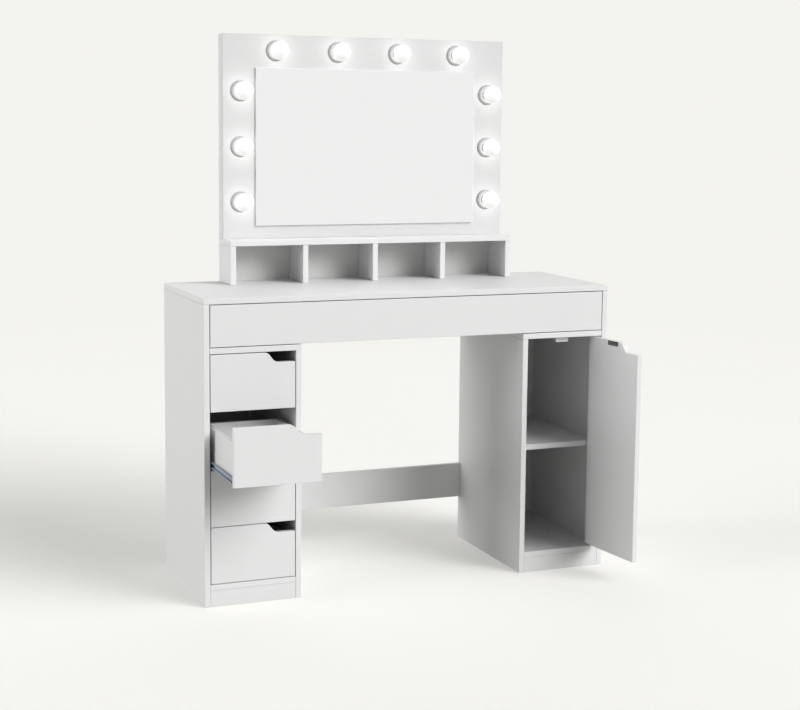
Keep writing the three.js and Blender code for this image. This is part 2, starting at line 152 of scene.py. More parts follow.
def pressed_grain():
    """The texture pressed into melamine paper: short pores along the board over a fine pebble."""
    tree, inside, out = new_group(
        "pressed_grain",
        [("Vector", "NodeSocketVector", None), ("Pores", "NodeSocketFloat", 1.0)],
        [("Tone", "NodeSocketFloat"), ("Height", "NodeSocketFloat")],
    )
    vector = inside.outputs["Vector"]
    pores = noise(tree, stretched(tree, vector, (26, 420, 420)), 1.0, 4.0, 0.6)
    pebble = noise(tree, vector, 950.0, 2.0)
    clouds = noise(tree, stretched(tree, vector, (3, 22, 22)), 1.0, 3.0)
    marks = remap(tree, pores, 0.42, 0.62)
    depth = math_node(tree, "MULTIPLY", marks, inside.outputs["Pores"])
    tone = blended(tree, depth, 0.55, clouds, 0.45)
    height = blended(tree, depth, 0.6, pebble, 0.4)
    tree.links.new(tone, out.inputs["Tone"])
    tree.links.new(height, out.inputs["Height"])
    return tree


def edge_wear():
    """Where a rounded edge has been rubbed: patches along it, for a piece's own edge attribute."""
    tree, inside, out = new_group(
        "edge_wear",
        [
            ("Vector", "NodeSocketVector", None),
            ("Edge", "NodeSocketFloat", 0.0),
            ("Amount", "NodeSocketFloat", 0.5),
        ],
        [("Mask", "NodeSocketFloat")],
    )
    patches = remap(tree, noise(tree, inside.outputs["Vector"], 38.0, 4.0, 0.65), 0.45, 0.7)
    rubbed = math_node(tree, "MULTIPLY", patches, inside.outputs["Edge"])
    tree.links.new(
        math_node(tree, "MULTIPLY", rubbed, inside.outputs["Amount"]), out.inputs["Mask"]
    )
    return tree


def handling():
    """Faint wiped and touched patches that change the gloss and little else."""
    tree, inside, out = new_group(
        "handling",
        [("Vector", "NodeSocketVector", None), ("Amount", "NodeSocketFloat", 0.1)],
        [("Mask", "NodeSocketFloat")],
    )
    wide = noise(tree, inside.outputs["Vector"], 6.0, 4.0, 0.6)
    fine = noise(tree, stretched(tree, inside.outputs["Vector"], (90, 30, 90)), 1.0, 3.0)
    both = math_node(tree, "MULTIPLY", remap(tree, wide, 0.35, 0.7), remap(tree, fine, 0.3, 0.75))
    tree.links.new(
        math_node(tree, "MULTIPLY", both, inside.outputs["Amount"]), out.inputs["Mask"]
    )
    return tree


def dust():
    """Dust that settles on what faces up."""
    tree, inside, out = new_group(
        "dust",
        [("Vector", "NodeSocketVector", None), ("Amount", "NodeSocketFloat", 0.1)],
        [("Mask", "NodeSocketFloat")],
    )
    geometry = tree.nodes.new("ShaderNodeNewGeometry")
    parts = tree.nodes.new("ShaderNodeSeparateXYZ")
    tree.links.new(geometry.outputs["Normal"], parts.inputs["Vector"])
    up = remap(tree, parts.outputs["Z"], 0.6, 0.95)
    specks = remap(tree, noise(tree, inside.outputs["Vector"], 260.0, 5.0, 0.7), 0.5, 0.72)
    settled = math_node(tree, "MULTIPLY", up, specks)
    tree.links.new(
        math_node(tree, "MULTIPLY", settled, inside.outputs["Amount"]), out.inputs["Mask"]
    )
    return tree


GRAIN, WEAR, HANDLING, DUST = pressed_grain(), edge_wear(), handling(), dust()

# ---- materials ------------------------------------------------------------------------------


class Finish:
    """A material under construction: a Principled shader and the values that feed it."""

    def __init__(self, name, color, roughness, metallic=0.0, use_uv=False):
        self.material = bpy.data.materials.new(name)
        self.material.use_nodes = True
        self.tree = self.material.node_tree
        self.shader = self.tree.nodes["Principled BSDF"]
        self.shader.inputs["Metallic"].default_value = metallic
        place = self.tree.nodes.new("ShaderNodeTexCoord")
        self.place = place.outputs["UV" if use_uv else "Object"]
        self.base = (*color, 1)
        self.roughness = roughness
        # What varies over the surface, once an effect has been added.
        self.color = self.rough = self.height = None

    def group(self, group, **values):
        """Places a shared effect with this material's own values."""
        node = self.tree.nodes.new("ShaderNodeGroup")
        node.node_tree = group
        self.tree.links.new(self.place, node.inputs["Vector"])
        for label, value in values.items():
            if isinstance(value, (int, float)):
                node.inputs[label].default_value = value
            else:
                self.tree.links.new(value, node.inputs[label])
        return node.outputs

    def attribute(self, name):
        """A mark that the piece's own faces carry."""
        node = self.tree.nodes.new("ShaderNodeAttribute")
        node.attribute_name = name
        return node.outputs["Fac"]

    def tint(self, mask, color, share=1.0):
        """Blends the colour so far towards another where the mask is high."""
        mix = self.tree.nodes.new("ShaderNodeMix")
        mix.data_type = "RGBA"
        factor = math_node(self.tree, "MULTIPLY", mask, share)
        self.tree.links.new(factor, mix.inputs["Factor"])
        if self.color is None:
            mix.inputs["A"].default_value = self.base
        else:
            self.tree.links.new(self.color, mix.inputs["A"])
        mix.inputs["B"].default_value = (*color, 1)
        self.color = mix.outputs["Result"]
        return self

    def hold_back_bounce(self, share):
        """Dims the light that this surface passes on to its neighbours, not the surface itself."""
        bounced = math_node(self.tree, "SUBTRACT", 1.0, seen_directly(self.tree))
        return self.tint(bounced, tuple(share * c for c in self.base[:3]))

    def roughen(self, mask, by):
        """Adds to the roughness, or with a negative amount polishes, where the mask is high."""
        start = self.roughness if self.rough is None else self.rough
        change = math_node(self.tree, "MULTIPLY", mask, by)
        self.rough = math_node(self.tree, "ADD", change, start)
        return self

    def emboss(self, height, strength, distance):
        """Fine relief from a height value; a second call adds to the first."""
        bump = self.tree.nodes.new("ShaderNodeBump")
        bump.inputs["Strength"].default_value = strength
        bump.inputs["Distance"].default_value = distance
        self.tree.links.new(height, bump.inputs["Height"])
        if self.height is not None:
            self.tree.links.new(self.height, bump.inputs["Normal"])
        self.height = bump.outputs["Normal"]
        return self

    def done(self):
        """Feeds the shader and gives the material."""
        sockets = self.shader.inputs
        sockets["Base Color"].default_value = self.base
        sockets["Roughness"].default_value = self.roughness
        if self.color is not None:
            self.tree.links.new(self.color, sockets["Base Color"])
        if self.rough is not None:
            self.tree.links.new(self.rough, sockets["Roughness"])
        if self.height is not None:
            self.tree.links.new(self.height, sockets["Normal"])
        return self.material


# How much of its own light a faced board passes on to its neighbours.
BOUNCE_SHARE = 0.78


def board_finish(name, color, roughness, pores=1.0, worn=0.5):
    """Faced board with a banded edge: grain on the faces, a smoother band, rubbed corners."""
    finish = Finish(name, color, roughness, use_uv=True)
    grain = finish.group(GRAIN, Pores=pores)
    band = finish.attribute("band")
    wear = finish.group(WEAR, Edge=finish.attribute("rounded"), Amount=worn)
    touched = finish.group(HANDLING, Amount=0.5)
    shade = tuple(c * 0.93 for c in color)
    warm = (color[0] * 0.985, color[1] * 0.975, color[2] * 0.95)
    finish.tint(grain["Tone"], shade, 0.45)
    finish.tint(band, tuple(min(1.0, c * 1.015) for c in color), 0.8)
    finish.tint(wear["Mask"], warm, 1.0)
    finish.hold_back_bounce(BOUNCE_SHARE)
    finish.roughen(grain["Tone"], 0.07)
    finish.roughen(touched["Mask"], -0.09)
    finish.roughen(band, -0.08)
    finish.emboss(grain["Height"], 0.22, 0.00025)
    return finish.done()


def hardboard_finish():
    """Thin lacquered hardboard: smooth film over a faint fibre mottle."""
    finish = Finish("hardboard_white", (0.8, 0.8, 0.79), 0.52, use_uv=True)
    fibres = noise(finish.tree, finish.place, 320.0, 5.0, 0.7)
    clouds = noise(finish.tree, finish.place, 14.0, 3.0)
    wear = finish.group(WEAR, Edge=finish.attribute("band"), Amount=0.9)
    finish.tint(remap(finish.tree, clouds, 0.3, 0.7), (0.76, 0.76, 0.75), 0.4)
    finish.tint(wear["Mask"], (0.42, 0.31, 0.2), 0.8)
    finish.hold_back_bounce(BOUNCE_SHARE)
    finish.roughen(remap(finish.tree, fibres, 0.35, 0.7), 0.1)
    finish.emboss(fibres, 0.25, 0.0002)
    return finish.done()


def foil_finish():
    """Foil-wrapped drawer boards: a little glossier than the fronts."""
    finish = Finish("drawer_foil", (0.82, 0.82, 0.815), 0.38, use_uv=True)
    grain = finish.group(GRAIN, Pores=0.5)
    band = finish.attribute("band")
    wear = finish.group(WEAR, Edge=finish.attribute("rounded"), Amount=0.6)
    finish.tint(grain["Tone"], (0.77, 0.77, 0.765), 0.5)
    finish.tint(wear["Mask"], (0.72, 0.69, 0.63), 0.8)
    finish.hold_back_bounce(BOUNCE_SHARE)
    finish.roughen(grain["Tone"], 0.08)
    finish.roughen(band, 0.05)
    finish.emboss(grain["Height"], 0.16, 0.0002)
    return finish.done()


def enamel_finish():
    """Powder-coated runner steel, with bright scuffs where rollers run."""
    finish = Finish("runner_enamel", (0.42, 0.47, 0.54), 0.42)
    peel = noise(finish.tree, finish.place, 900.0, 2.0)
    streak = noise(finish.tree, stretched(finish.tree, finish.place, (700, 12, 700)), 1.0, 4.0)
    touched = finish.group(HANDLING, Amount=0.8)
    finish.tint(remap(finish.tree, streak, 0.52, 0.7), (0.6, 0.64, 0.69), 0.6)
    finish.tint(touched["Mask"], (0.33, 0.37, 0.43), 0.5)
    finish.roughen(remap(finish.tree, streak, 0.5, 0.7), -0.12)
    finish.emboss(peel, 0.3, 0.00015)
    return finish.done()


def steel_finish(name, color, roughness, along):
    """Plated or rolled metal with fine drawn lines; along says how they are stretched."""
    finish = Finish(name, color, roughness, metallic=1.0)
    lines = noise(finish.tree, stretched(finish.tree, finish.place, along), 1.0, 5.0, 0.7)
    spots = noise(finish.tree, finish.place, 420.0, 4.0, 0.6)
    darker = tuple(c * 0.7 for c in color)
    finish.tint(remap(finish.tree, spots, 0.5, 0.75), darker, 0.5)
    finish.roughen(remap(finish.tree, lines, 0.3, 0.7), 0.14)
    finish.emboss(lines, 0.15, 0.0001)
    return finish.done()


def strike_finish():
    """Blackened steel plate with a rubbed, paler field."""
    finish = Finish("strike_black_steel", (0.075, 0.075, 0.078), 0.42, metallic=0.5)
    lines = noise(finish.tree, stretched(finish.tree, finish.place, (900, 30, 900)), 1.0, 5.0, 0.7)
    finish.tint(finish.attribute("field"), (0.17, 0.17, 0.175), 0.9)
    finish.tint(remap(finish.tree, lines, 0.5, 0.75), (0.24, 0.24, 0.245), 0.35)
    finish.roughen(remap(finish.tree, lines, 0.3, 0.7), 0.12)
    finish.emboss(lines, 0.15, 0.0001)
    return finish.done()


def moulded_finish(name, color, roughness, shine=0.0):
    """Moulded plastic: fine spark texture, soft gloss changes, dust on top."""
    finish = Finish(name, color, roughness)
    spark = noise(finish.tree, finish.place, 1500.0, 2.0)
    touched = finish.group(HANDLING, Amount=0.6)
    settled = finish.group(DUST, Amount=0.35)
    flow = noise(finish.tree, finish.place, 45.0, 3.0)
    finish.tint(remap(finish.tree, flow, 0.35, 0.7), tuple(c * 0.93 for c in color), 0.6)
    finish.tint(settled["Mask"], (0.6, 0.59, 0.57), 0.5)
    finish.roughen(touched["Mask"], 0.12)
    finish.roughen(settled["Mask"], 0.25)
    finish.emboss(spark, 0.2, 0.0001)
    finish.shader.inputs["Coat Weight"].default_value = shine
    finish.shader.inputs["Coat Roughness"].default_value = 0.15
    return finish.done()


def mirror_finish():
    """Silvered front with a trace of cleaning haze."""
    finish = Finish("mirror_silver", (0.957, 0.963, 0.995), 0.012, metallic=1.0)
    haze = finish.group(HANDLING, Amount=0.06)
    finish.tint(haze["Mask"], (0.92, 0.925, 0.95), 0.6)
    finish.roughen(haze["Mask"], 0.3)
    return finish.done()


def ground_glass_finish():
    """The pane's ground edge: pale green-grey, matt."""
    finish = Finish("ground_glass_edge", (0.76, 0.79, 0.785), 0.45)
    grit = noise(finish.tree, finish.place, 1800.0, 3.0)
    chips = remap(finish.tree, noise(finish.tree, finish.place, 240.0, 4.0), 0.55, 0.7)
    finish.tint(chips, (0.84, 0.87, 0.865), 0.8)
    finish.roughen(grit, 0.2)
    finish.emboss(grit, 0.3, 0.0001)
    return finish.done()


LAMP_STRENGTH = 2.0
# Shares of that strength: what the globe shows, and what its front and its rear throw.
LAMP_FACE = 0.4
# The globe's underside shows less glow: painted shade.
LAMP_SHADED_UNDERSIDE = 0.82 * LAMP_FACE
LAMP_THROW_FRONT, LAMP_THROW_REAR = 0.03, 1.3
LAMP_WHITE = (1.0, 0.992, 0.975, 1)


def lamp_finish():
    """Frosted globe, lit from inside: a mild face, and a stronger throw back on its panel. Its
    white glass is painted grey and its underside glows less, both painted shade.
    """
    # The frosted glass is painted grey: painted shade that keeps the lit globe from washing out.
    finish = Finish("lamp_frost", (0.34, 0.34, 0.336), 0.3)
    tree = finish.tree
    frost = noise(tree, finish.place, 1300.0, 3.0)
    cloud = noise(tree, finish.place, 60.0, 3.0)
    finish.roughen(remap(tree, frost, 0.3, 0.7), 0.15)
    finish.emboss(frost, 0.12, 0.0001)
    geometry = tree.nodes.new("ShaderNodeNewGeometry")
    parts = tree.nodes.new("ShaderNodeSeparateXYZ")
    tree.links.new(geometry.outputs["Normal"], parts.inputs["Vector"])
    # Painted shade: the glow shown fades towards the globe's underside.
    painted_underside_shade = remap(tree, parts.outputs["Z"], -1.0, 0.3, LAMP_SHADED_UNDERSIDE, LAMP_FACE)
    patchy = remap(tree, cloud, 0.2, 0.8, 0.96, 1.0)
    face = math_node(tree, "MULTIPLY", painted_underside_shade, patchy)
    throw = remap(tree, parts.outputs["Y"], -0.1, 0.5, LAMP_THROW_FRONT, LAMP_THROW_REAR)
    emit(finish, shown_or_thrown(tree, face, throw), LAMP_WHITE)
    finish.shader.inputs["Emission Strength"].default_value = LAMP_STRENGTH
    return finish.done()


WHITE = (0.83, 0.83, 0.832)
# The lamps' own panel: the same white board painted a shade darker. This is painted shade that
# offsets the lamps' glow on it.
PANEL_WHITE_PAINTED_SHADE = (0.735, 0.735, 0.737)

# Finishes by the record's material slot, and those of small pieces that share a slot.
FINISHES = {
    "melamine_board": board_finish("melamine_board_white", WHITE, 0.46),
    "melamine_front": board_finish("melamine_front_white", WHITE, 0.42, pores=0.8, worn=0.7),
    "hardboard_back": hardboard_finish(),
    "drawer_board": foil_finish(),
    "zinc_runner": enamel_finish(),
    "zinc_pin": steel_finish("pin_zinc", (0.62, 0.62, 0.6), 0.3, (900, 900, 40)),
    "strike_steel": strike_finish(),
    "white_plastic": moulded_finish("plastic_white", (0.84, 0.86, 0.92), 0.35, shine=0.2),
    "mirror": mirror_finish(),
    "frosted_bulb": lamp_finish(),
    "black_plastic": moulded_finish("plastic_black", (0.035, 0.035, 0.036), 0.42),
}
EXTRA = {
    # The lamps' panel gets the darker copy of the white board: painted shade under the lamps'
    # glow.
    "mirror_panel": board_finish("mirror_panel_painted_shade", PANEL_WHITE_PAINTED_SHADE, 0.5),
    "glass_edge": ground_glass_finish(),
    "nylon": moulded_finish("nylon_roller", (0.78, 0.78, 0.76), 0.45),
    # The white socket rings are painted mid grey. This is painted shade that offsets the lamps'
    # light falling on them.
    "socket_ring_painted_shade": moulded_finish("socket_ring_painted_shade", (0.46, 0.46, 0.46), 0.4, shine=0.1),
    "lamp_cap": steel_finish("lamp_cap_aluminium", (0.75, 0.75, 0.74), 0.28, (900, 40, 900)),
}

# ---- making pieces --------------------------------------------------------------------------

SHARP_ANGLE = 50


def finished(name, bm, body, slot, material=None, replaces=(), weighted=True):
    """Turns a bmesh into a piece that rides on a body and takes its finish from a slot."""
    mesh = bpy.data.meshes.new(name)
    bm.to_mesh(mesh)
    bm.free()
    piece = bpy.data.objects.new(name, mesh)
    bpy.context.scene.collection.objects.link(piece)
    mesh.materials.append(material or FINISHES[slot])
    mesh.shade_smooth()
    mesh.set_sharp_from_angle(angle=math.radians(SHARP_ANGLE))
    if weighted:
        modifier = piece.modifiers.new("even_shading", "WEIGHTED_NORMAL")
        modifier.keep_sharp = True
    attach(piece, body)
    if replaces:
        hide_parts(*replaces)
    return piece


def copy_of(node):
    """A CAD node's shape as a merged bmesh with its flat faces whole."""
    bm = bmesh.new()
    bm.from_mesh(NODES[node].data)
    bmesh.ops.remove_doubles(bm, verts=bm.verts, dist=0.02 * MM)
    bmesh.ops.dissolve_limit(
        bm, angle_limit=math.radians(0.5), verts=bm.verts, edges=bm.edges
    )
    return bm


def box_mesh(low, high):
    """A box between two corners."""
    bm = bmesh.new()
    bmesh.ops.create_cube(bm, size=1.0)
    size, middle = high - low, (low + high) / 2
    bmesh.ops.scale(bm, vec=size, verts=bm.verts)
    bmesh.ops.translate(bm, vec=middle, verts=bm.verts)
    return bm


def soften(bm, edges, radius, segments, **limits):
    """Bevels some edges to a round."""
    bmesh.ops.bevel(
        bm,
        geom=edges,
        offset=radius,
        segments=segments,
        profile=0.5,
        affect="EDGES",
        material=-1,
        **limits,
    )


def round_edges(bm, radius, segments=2, sharper_than=40.0):
    """Rounds every edge whose faces turn by more than an angle in degrees."""
    edges = [
        e
        for e in bm.edges
        if len(e.link_faces) == 2 and e.calc_face_angle(0) > math.radians(sharper_than)
    ]
    soften(bm, edges, radius, segments, clamp_overlap=True)


def lay_board(bm, grain, start):
    """Marks a board's banded and rounded faces and lays a UV map in metres along its grain."""
    broad = max(bm.faces, key=lambda f: f.calc_area()).normal.copy()
    across = broad.cross(grain).normalized()
    band = bm.faces.layers.float.new("band")
    rounded = bm.faces.layers.float.new("rounded")
    uv = bm.loops.layers.uv.new("board")
    for face in bm.faces:
        facing = abs(face.normal.dot(broad))
        square = max(facing, abs(face.normal.dot(across)), abs(face.normal.dot(grain)))
        face[rounded] = 1.0 if square < 0.985 else 0.0
        face[band] = 1.0 if facing < 0.3 else 0.0
        u = grain if abs(face.normal.dot(grain)) < 0.7 else across
        v = face.normal.cross(u).normalized()
        for loop in face.loops:
            point = loop.vert.co
            loop[uv].uv = (point.dot(u) + start, point.dot(v) + start * 0.7)


def long_way(low, high):
    """The axis that a board is longest along."""
    size = high - low
    return max(((size.x, X), (size.y, Y), (size.z, Z)), key=lambda pair: pair[0])[1]


boards_made = []
BOARD_ROUNDING = 0.8 * MM
BOX_ROUNDING = 0.6 * MM
BACK_ROUNDING = 0.3 * MM
# Each board is cut from a different place of the pattern, this many metres on.
NEXT_CUT = 0.37


def board_piece(name, bm, body, slot, grain, radius, replaces=(), material=None):
    """A board with rounded edges and its grain laid; every board goes through here."""
    round_edges(bm, radius)
    boards_made.append(name)
    lay_board(bm, grain, NEXT_CUT * len(boards_made))
    return finished(name, bm, body, slot, material, replaces)


# ---- carcass, hutch and mirror box ----------------------------------------------------------


def slot_of(node):
    """The record's material slot of a CAD node."""
    for row in frame["record"]["subparts"]:
        if row["node"] == node:
            return row["material_slot"]
    return None


def all_boards():
    """Every faced board and hardboard back that keeps its CAD outline, with softened edges."""
    for node in sorted(NODES):
        slot = slot_of(node)
        if slot not in ("melamine_board", "melamine_front", "hardboard_back"):
            continue
        radius = BACK_ROUNDING if slot == "hardboard_back" else BOARD_ROUNDING
        grain = Z if node == "door_panel" else long_way(*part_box(node))
        # The lamps' panel takes its darker copy of the white board: painted shade that offsets the
        # lamps' glow.
        material = EXTRA["mirror_panel"] if node == "mirror_front_panel" else None
        board_piece(
            f"{node}_board", copy_of(node), BODY_OF[node], slot, grain, radius, (node,), material
        )


# ---- turned pieces --------------------------------------------------------------------------


def turned(profile, steps=40):
    """A solid turned about Y from its outline: [radius, distance along Y] from end to end."""
    bm = bmesh.new()
    corners = [bm.verts.new((r, y, 0)) for r, y in profile]
    for a, b in zip(corners, corners[1:]):
        bm.edges.new((a, b))
    bmesh.ops.spin(
        bm,
        geom=bm.verts[:] + bm.edges[:],
        cent=(0, 0, 0),
        axis=Y,
        dvec=(0, 0, 0),
        angle=2 * math.pi,
        steps=steps,
        use_merge=True,
        use_duplicate=False,
    )
    bmesh.ops.remove_doubles(bm, verts=bm.verts, dist=0.002 * MM)
    bmesh.ops.recalc_face_normals(bm, faces=bm.faces)
    return bm


def closed_turned(profile, steps=40):
    """As turned, for a ring whose outline joins up with itself."""
    return turned([*profile, profile[0]], steps)


def moved(bm, place, turn=None):
    """A piece made at the origin, turned and put in its place."""
    if turn is not None:
        bmesh.ops.rotate(bm, cent=(0, 0, 0), matrix=turn, verts=bm.verts)
    bmesh.ops.translate(bm, vec=place, verts=bm.verts)
    return bm


def joined(parts):
    """Several bmeshes as one."""
    whole = bmesh.new()
    for part in parts:
        mesh = bpy.data.meshes.new("part")
        part.to_mesh(mesh)
        part.free()
        whole.from_mesh(mesh)
        bpy.data.meshes.remove(mesh)
    return whole


def scaled(profile):
    """An outline given in millimetres, in metres."""
    return [(r * MM, y * MM) for r, y in profile]


# ---- lamps ----------------------------------------------------------------------------------

# In millimetres; outlines count along Y from the panel's front.
GLOBE_RADIUS = 25.0
GLOBE_STANDOFF = 38.0
GLOBE_OPENING = 14.5
GLOBE_STEPS = 22
CAP_THREADS = 5
CAP_PITCH = 3.6
RING_GAP = 0.25 * MM


def globe_profile():
    """Closed outline of the glass, from its front pole back to the cap, then its flat back."""
    points = [(0, -GLOBE_STANDOFF - GLOBE_RADIUS)]
    neck_angle = math.asin(GLOBE_OPENING / GLOBE_RADIUS)
    for i in range(1, GLOBE_STEPS + 1):
        a = (math.pi - neck_angle) * i / GLOBE_STEPS
        points.append(
            (GLOBE_RADIUS * math.sin(a), -GLOBE_STANDOFF - GLOBE_RADIUS * math.cos(a))
        )
    points += [(13.2, -15.6), (12.5, -13.4), (12.3, -10.0), (12.3, -4.0), (11.5, -3.2), (0, -3.2)]
    return points


def cap_profile():
    """Screw cap: a collar, five rolled threads and a contact."""
    points = [(0, -3.0), (11.6, -3.0), (12.2, -2.4), (12.2, 1.0)]
    for i in range(CAP_THREADS):
        y = 2.0 + i * CAP_PITCH
        points += [(11.2, y), (12.4, y + 1.0), (12.4, y + 1.8), (11.2, y + 2.8)]
    points += [(11.0, 21.0), (7.0, 24.0), (5.0, 24.4), (4.6, 26.4), (0, 26.6)]
    return points


def ring_profile():
    """The white socket ring on the panel: a domed rim round a shallow well."""
    return [
        (14.0, 0.2),
        (28.5, 0.2),
        (28.5, -0.6),
        (28.0, -2.2),
        (27.0, -3.8),
        (25.6, -5.2),
        (23.8, -6.2),
        (21.8, -6.6),
        (20.4, -6.5),
        (19.4, -6.0),
        (18.8, -5.0),
        (18.4, -2.6),
        (17.8, -1.8),
        (14.4, -1.8),
        (14.0, -1.4),
    ]


def lamps():
    """Ten lamps in their rings; globes and rings keep no studio light off the panel."""
    panel_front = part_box("mirror_front_panel")[0].y
    for node in sorted(n for n in NODES if n.startswith("bulb_")):
        low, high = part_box(node)
        place = Vector(((low.x + high.x) / 2, panel_front, (low.z + high.z) / 2))
        number = node[-2:]
        glass = moved(turned(scaled(globe_profile()), 48), place)
        globe = finished(
            f"lamp_globe_{number}", glass, "carcass", "frosted_bulb", None, (node,), False
        )
        globe.visible_shadow = False
        cap = moved(turned(scaled(cap_profile()), 32), place)
        finished(f"lamp_cap_{number}", cap, "carcass", "frosted_bulb", EXTRA["lamp_cap"])
        rim = moved(closed_turned(scaled(ring_profile()), 56), place - RING_GAP * Y)
        ring = finished(
            f"socket_ring_{number}", rim, "carcass", "white_plastic", EXTRA["socket_ring_painted_shade"]
        )
        ring.visible_shadow = False


# ---- mirror pane ----------------------------------------------------------------------------


def mirror_pane():
    """The pane with a ground arris all round, its silver on the front and its edge matt."""
    low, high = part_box("mirror_glass")
    bm = box_mesh(low, high)
    round_edges(bm, 0.6 * MM, 2)
    front = [f for f in bm.faces if abs(f.normal.y) > 0.99]
    for face in bm.faces:
        face.material_index = 0 if face in front else 1
    pane = finished("mirror_pane", bm, "carcass", "mirror", None, ("mirror_glass",))
    pane.data.materials.append(EXTRA["glass_edge"])


# ---- drawer boxes and runners ---------------------------------------------------------------

BOX_BOARD = 12 * MM
BOX_FLOOR = 4 * MM
BOX_FLOOR_RISE = 6 * MM
BOX_JOINT = 0.25 * MM


def drawer_box(node):
    """Two sides, a back between them and a floor in their grooves."""
    body = BODY_OF[node]
    low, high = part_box(node)
    inner_left, inner_right = low.x + BOX_BOARD, high.x - BOX_BOARD
    back_front = high.y - BOX_BOARD
    floor_low = low.z + BOX_FLOOR_RISE
    parts = {
        "side_left": (low, Vector((inner_left, high.y, high.z))),
        "side_right": (Vector((inner_right, low.y, low.z)), high),
        "back": (
            Vector((inner_left + BOX_JOINT, back_front, floor_low + BOX_FLOOR + BOX_JOINT)),
            Vector((inner_right - BOX_JOINT, high.y, high.z)),
        ),
        "floor": (
            Vector((inner_left + BOX_JOINT, low.y, floor_low)),
            Vector((inner_right - BOX_JOINT, high.y, floor_low + BOX_FLOOR)),
        ),
    }
    for label, (a, b) in parts.items():
        replaces = (node,) if label == "side_left" else ()
        board_piece(
            f"{node}_{label}",
            box_mesh(a, b),
            body,
            "drawer_board",
            long_way(a, b),
            BOX_ROUNDING,
            replaces,
        )


FRONT_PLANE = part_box("side_left_outer")[0].y
RUNNER_SHEET = 1.2 * MM
RUNNER_LENGTH_MOVING = 296 * MM
RUNNER_LENGTH_FIXED = 300 * MM
# Folded outlines: [distance in from the carcass side, height over the drawer box's lower edge].
MOVING_CHANNEL = [(3.0, 12.4), (11.6, 12.4), (11.6, -0.9), (23.5, -0.9)]
MOVING_LIP = [(3.0, -0.9), (10.95, -0.9)]
FIXED_CHANNEL = [(10.0, -5.4), (0.9, -5.4), (0.9, 18.4), (10.0, 18.4)]
# How far behind the fronts the fixed half starts, and the moving half behind its box.
TRACK_SETBACK = 17 * MM
SLIDE_SETBACK = 0.7 * MM
ROLLER_HEIGHT = 5.7 * MM
ROLLER_FROM_END = 8 * MM
TRACK_ROLLER_REACH, SLIDE_ROLLER_REACH = 6.0 * MM, 6.6 * MM


def folded(points, wall_x, inward, base_z, y0, length):
    """Sheet folded to an outline and run back along Y, its bends rounded."""
    bm = bmesh.new()
    corners = [
        bm.verts.new((wall_x + inward * d * MM, y0, base_z + h * MM)) for d, h in points
    ]
    edges = [bm.edges.new(pair) for pair in zip(corners, corners[1:])]
    made = bmesh.ops.extrude_edge_only(bm, edges=edges)["geom"]
    moving = [g for g in made if isinstance(g, bmesh.types.BMVert)]
    bmesh.ops.translate(bm, vec=(0, length, 0), verts=moving)
    bends = [e for e in bm.edges if len(e.link_faces) == 2]
    if bends:
        soften(bm, bends, RUNNER_SHEET, 3)
    return bm


def roller(wall_x, inward, y, z, reach):
    """A nylon wheel on its axle; reach is how far in from the wall its middle runs."""
    outline = [
        (0, -2.6),
        (1.6, -2.6),
        (1.6, -2.2),
        (4.4, -2.2),
        (5.0, -2.0),
        (5.3, -1.6),
        (5.3, 1.6),
        (5.0, 2.0),
        (4.4, 2.2),
        (2.2, 2.2),
        (2.2, 2.6),
        (0, 2.6),
    ]
    turn = Matrix.Rotation(math.radians(90), 3, "Z")
    return moved(turned(scaled(outline), 28), Vector((wall_x + inward * reach, y, z)), turn)


def sheet_piece(name, parts, body, replaces=()):
    """Folded sheets as one piece, given their thickness."""
    piece = finished(name, joined(parts), body, "zinc_runner", None, replaces, False)
    thicken = piece.modifiers.new("sheet", "SOLIDIFY")
    thicken.thickness = RUNNER_SHEET
    thicken.offset = 0.0
    thicken.use_even_offset = True
    return piece


def runners(drawer, wall_left, wall_right):
    """Both halves of both runners of one drawer, with their rollers."""
    low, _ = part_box(f"{drawer}_box")
    stands_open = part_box(f"{drawer}_front")[0].y < FRONT_PLANE
    slide_y = low.y + SLIDE_SETBACK
    track_y = FRONT_PLANE + TRACK_SETBACK
    axle_z = low.z + ROLLER_HEIGHT
    for side, wall_x, inward in (("left", wall_left, 1), ("right", wall_right, -1)):
        slide = [
            folded(outline, wall_x, inward, low.z, slide_y, RUNNER_LENGTH_MOVING)
            for outline in (MOVING_CHANNEL, MOVING_LIP)
        ]
        node = f"{drawer}_runner_{side}"
        sheet_piece(
            f"{drawer}_slide_{side}", slide, drawer, (node,) if node in NODES else ()
        )
        track = [folded(FIXED_CHANNEL, wall_x, inward, low.z, track_y, RUNNER_LENGTH_FIXED)]
        node = f"carcass_runner_{side}"
        sheet_piece(
            f"{drawer}_track_{side}", track, "carcass", (node,) if stands_open else ()
        )
        front_y = track_y + ROLLER_FROM_END
        rear_y = slide_y + RUNNER_LENGTH_MOVING - ROLLER_FROM_END
        for part, body, y, reach in (
            ("track", "carcass", front_y, TRACK_ROLLER_REACH),
            ("slide", drawer, rear_y, SLIDE_ROLLER_REACH),
        ):
            wheel = roller(wall_x, inward, y, axle_z, reach)
            finished(
                f"{drawer}_{part}_roller_{side}", wheel, body, "white_plastic", EXTRA["nylon"]
            )


def all_drawers():
    """Each drawer's box and runners, between the sides that carry it."""
    outer_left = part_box("side_left_outer")[1].x
    inner_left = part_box("side_left_inner")[0].x
    outer_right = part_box("side_right_outer")[0].x
    for node in sorted(n for n in NODES if n.endswith("_box")):
        drawer_box(node)
        drawer = node[: -len("_box")]
        right = outer_right if drawer == "long_drawer" else inner_left
        runners(drawer, outer_left, right)


# ---- door fittings --------------------------------------------------------------------------

STRIKE_CORNER_SHARE = 0.36
STRIKE_RIM = 1.5 * MM
STRIKE_PRESSING = 0.35 * MM
CATCH_RIM = 1.6 * MM
CATCH_SINK = 1.0 * MM
POLE_HEIGHTS = (("upper", 3.0 * MM), ("lower", -3.0 * MM))
POLE_INSET = 3 * MM
# In millimetres: how deep a pin sits in the door, and half of its collar's thickness.
PIN_IN_DOOR = 12.0
COLLAR_HALF = 0.65


